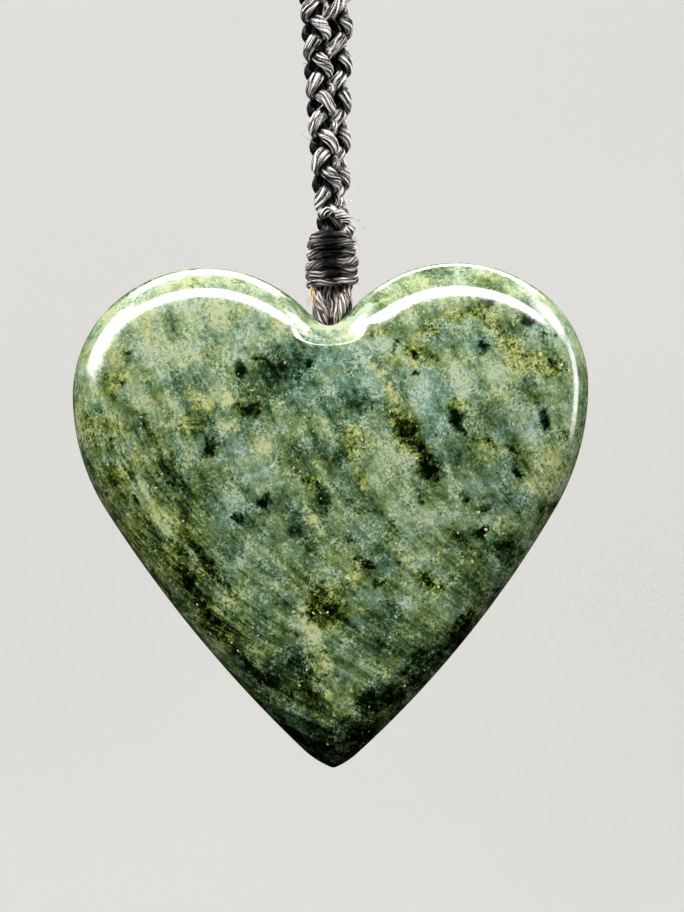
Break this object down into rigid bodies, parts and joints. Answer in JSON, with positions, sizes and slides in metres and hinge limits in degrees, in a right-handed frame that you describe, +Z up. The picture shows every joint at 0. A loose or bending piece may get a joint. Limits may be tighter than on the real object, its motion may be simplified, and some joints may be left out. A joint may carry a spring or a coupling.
{
  "type": "greenstone heart pendant on a plaited neck cord",
  "caption": "Polished greenstone heart with domed faces, lashed by doubled waxed cords and a thread whipping to a plaited black neck loop.",
  "frame": {"origin": "inside of the loop's top, on top of the round bar that carries it", "axes": "+X across the heart to the right of a person facing its front, +Y from front to back, +Z up along the hanging loop"},
  "size_m": [0.0505, 0.0111, 0.393],
  "materials": {
    "greenstone": "polished",
    "waxed_cord": "satin",
    "waxed_thread": "satin"
  },
  "bodies": {
    "root": {"heart_stone": "greenstone", "loop_strand_1": "waxed_cord", "loop_strand_2": "waxed_cord", "loop_strand_3": "waxed_cord", "loop_strand_4": "waxed_cord", "whipping": "waxed_thread", "whipping_tail": "waxed_thread", "left_strand_1": "waxed_cord", "left_strand_2": "waxed_cord", "left_strand_3": "waxed_cord", "left_strand_4": "waxed_cord", "right_strand_1": "waxed_cord", "right_strand_2": "waxed_cord", "right_strand_3": "waxed_cord", "right_strand_4": "waxed_cord", "left_neck_cord": "waxed_cord", "right_neck_cord": "waxed_cord", "neck_arch": "waxed_cord", "right_neck_end": "waxed_cord", "nape_binding": "waxed_thread"}
  },
  "joints": []
}
